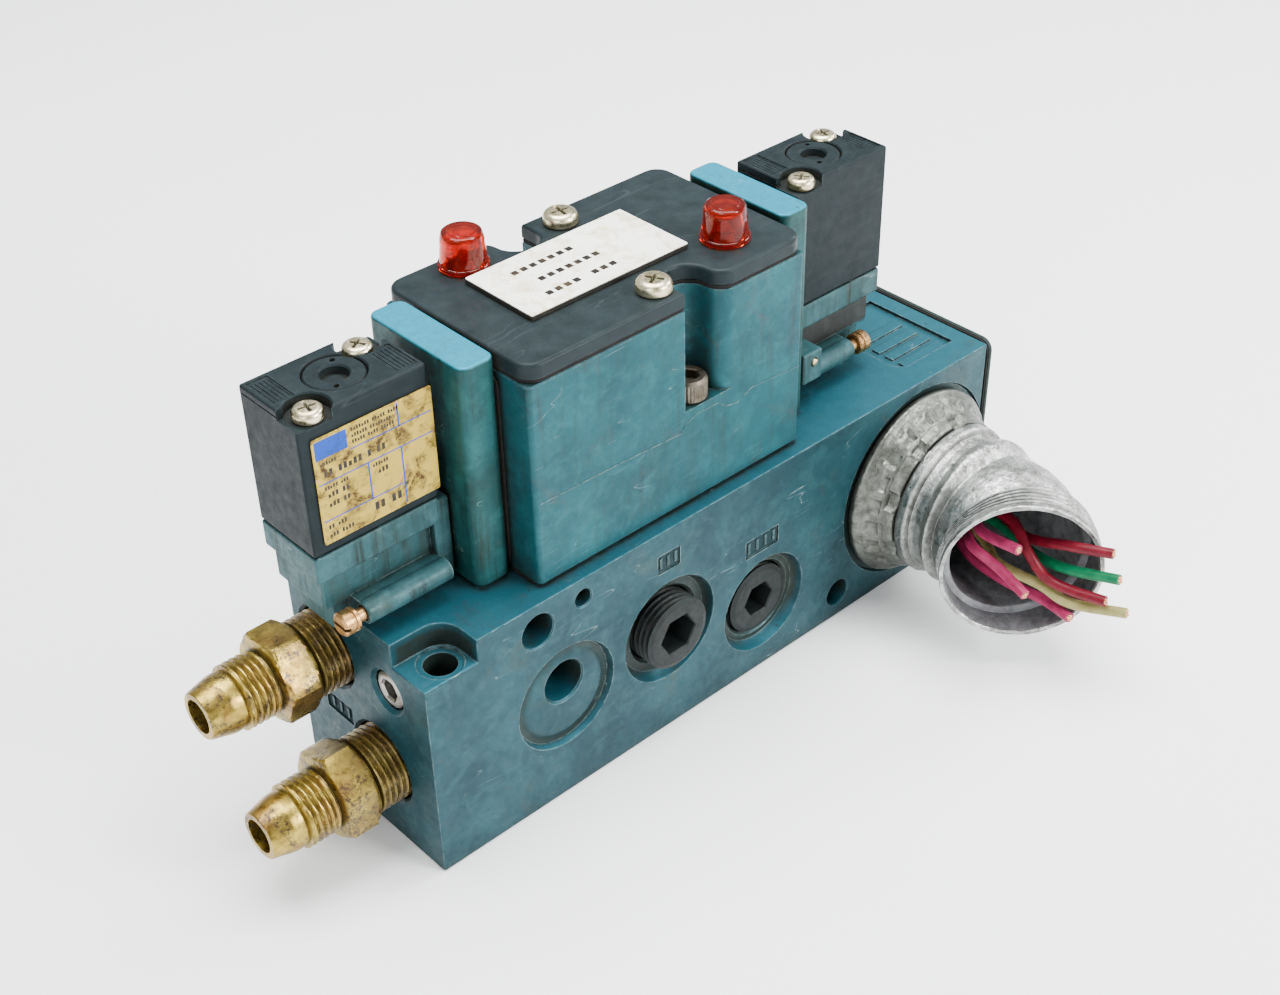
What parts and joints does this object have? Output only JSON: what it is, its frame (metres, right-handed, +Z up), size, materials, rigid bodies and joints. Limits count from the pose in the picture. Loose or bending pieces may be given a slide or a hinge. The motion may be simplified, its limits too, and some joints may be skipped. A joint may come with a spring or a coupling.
{
  "type": "solenoid directional valve",
  "caption": "Double-solenoid pilot-operated spool valve bolted on a plug-in manifold base with a conduit elbow, lead wires and flare fittings.",
  "frame": {"origin": "middle of the manifold base's flat underside, on its long and short centre lines", "axes": "+X along the base towards its wiring end, +Y from the front with the plugs and the elbow to the back, +Z up"},
  "size_m": [0.1997, 0.1091, 0.113],
  "materials": {
    "base_anodised": "satin anodised, oily grime",
    "body_painted": "satin enamel, worn",
    "cap_painted": "satin enamel, bright top",
    "black_plastic": "matt moulded",
    "lens_red": "translucent gloss",
    "plate_cream": "matt printed",
    "zinc_screw": "yellow zinc plate",
    "dark_steel": "black oxide",
    "brass": "tarnished",
    "cast_zinc": "rough die-cast",
    "gasket_rubber": "matt",
    "copper": "enamelled winding",
    "steel": "ground",
    "wire_red": "pvc",
    "wire_pink": "pvc",
    "wire_green": "pvc",
    "wire_cream": "pvc, dirty"
  },
  "bodies": {
    "root": {"armature_spring_left": "steel", "armature_spring_right": "steel", "base_gasket": "gasket_rubber", "body_bolt_front": "dark_steel", "body_bolt_rear": "dark_steel", "cap_gasket_left": "gasket_rubber", "cap_gasket_right": "gasket_rubber", "coil_housing_left": "black_plastic", "coil_housing_right": "black_plastic", "coil_left": "copper", "coil_right": "copper", "conduit_elbow": "cast_zinc", "cover_gasket": "gasket_rubber", "cover_screw_front": "zinc_screw", "cover_screw_rear": "zinc_screw", "elbow_locknut": "cast_zinc", "end_cap_left": "cap_painted", "end_cap_right": "cap_painted", "end_cover": "black_plastic", "end_cover_screw_1": "zinc_screw", "end_cover_screw_2": "zinc_screw", "end_gasket": "gasket_rubber", "exhaust_plug": "dark_steel", "fitting_lower": "brass", "fitting_upper": "brass", "flow_screw": "dark_steel", "inlet_plug": "dark_steel", "lamp_left": "plate_cream", "lamp_right": "plate_cream", "legend_plate": "plate_cream", "lens_left": "lens_red", "lens_right": "lens_red", "manifold_base": "base_anodised", "pilot_base_left": "body_painted", "pilot_base_right": "body_painted", "pilot_label": "plate_cream", "pilot_screw_left_front": "zinc_screw", "pilot_screw_left_rear": "zinc_screw", "pilot_screw_right_front": "zinc_screw", "pilot_screw_right_rear": "zinc_screw", "pin_block": "black_plastic", "pole_piece_left": "black_plastic", "pole_piece_right": "black_plastic", "socket_block": "black_plastic", "top_cover": "black_plastic", "valve_body": "body_painted", "wire_cream": "wire_cream", "wire_green": "wire_green", "wire_pink": "wire_pink", "wire_pink_lower": "wire_pink", "wire_pink_short": "wire_pink", "wire_red_curved": "wire_red", "wire_red_upper": "wire_red"},
    "spool": {"spool": "steel"},
    "piston_left": {"piston_left": "black_plastic"},
    "piston_right": {"piston_right": "black_plastic"},
    "armature_left": {"armature_left": "steel"},
    "armature_right": {"armature_right": "steel"},
    "operator_pin_left": {"operator_pin_left": "brass"},
    "operator_pin_right": {"operator_pin_right": "brass"}
  },
  "joints": [
    {"name": "spool_slide", "type": "slide", "parent": "root", "child": "spool", "axis": [1, 0, 0], "range_m": [-0.003, 0.003]},
    {"name": "piston_left_slide", "type": "slide", "parent": "root", "child": "piston_left", "axis": [1, 0, 0], "range_m": [-0.003, 0.003]},
    {"name": "piston_right_slide", "type": "slide", "parent": "root", "child": "piston_right", "axis": [1, 0, 0], "range_m": [-0.003, 0.003]},
    {"name": "armature_left_lift", "type": "slide", "parent": "root", "child": "armature_left", "axis": [0, 0, 1], "range_m": [0, 0.0008], "stiffness_N_per_m": 800, "springref_m": -0.002, "deforming": ["armature_spring_left"]},
    {"name": "operator_left_push", "type": "slide", "parent": "root", "child": "operator_pin_left", "axis": [1, 0, 0], "range_m": [0, 0.0015], "stiffness_N_per_m": 600, "springref_m": -0.001},
    {"name": "armature_right_lift", "type": "slide", "parent": "root", "child": "armature_right", "axis": [0, 0, 1], "range_m": [0, 0.0008], "stiffness_N_per_m": 800, "springref_m": -0.002, "deforming": ["armature_spring_right"]},
    {"name": "operator_right_push", "type": "slide", "parent": "root", "child": "operator_pin_right", "axis": [-1, 0, 0], "range_m": [0, 0.0015], "stiffness_N_per_m": 600, "springref_m": -0.001}
  ],
  "couplings": [
    {"joint": "piston_left_slide", "follows": "spool_slide", "ratio": 1},
    {"joint": "piston_right_slide", "follows": "spool_slide", "ratio": 1}
  ]
}
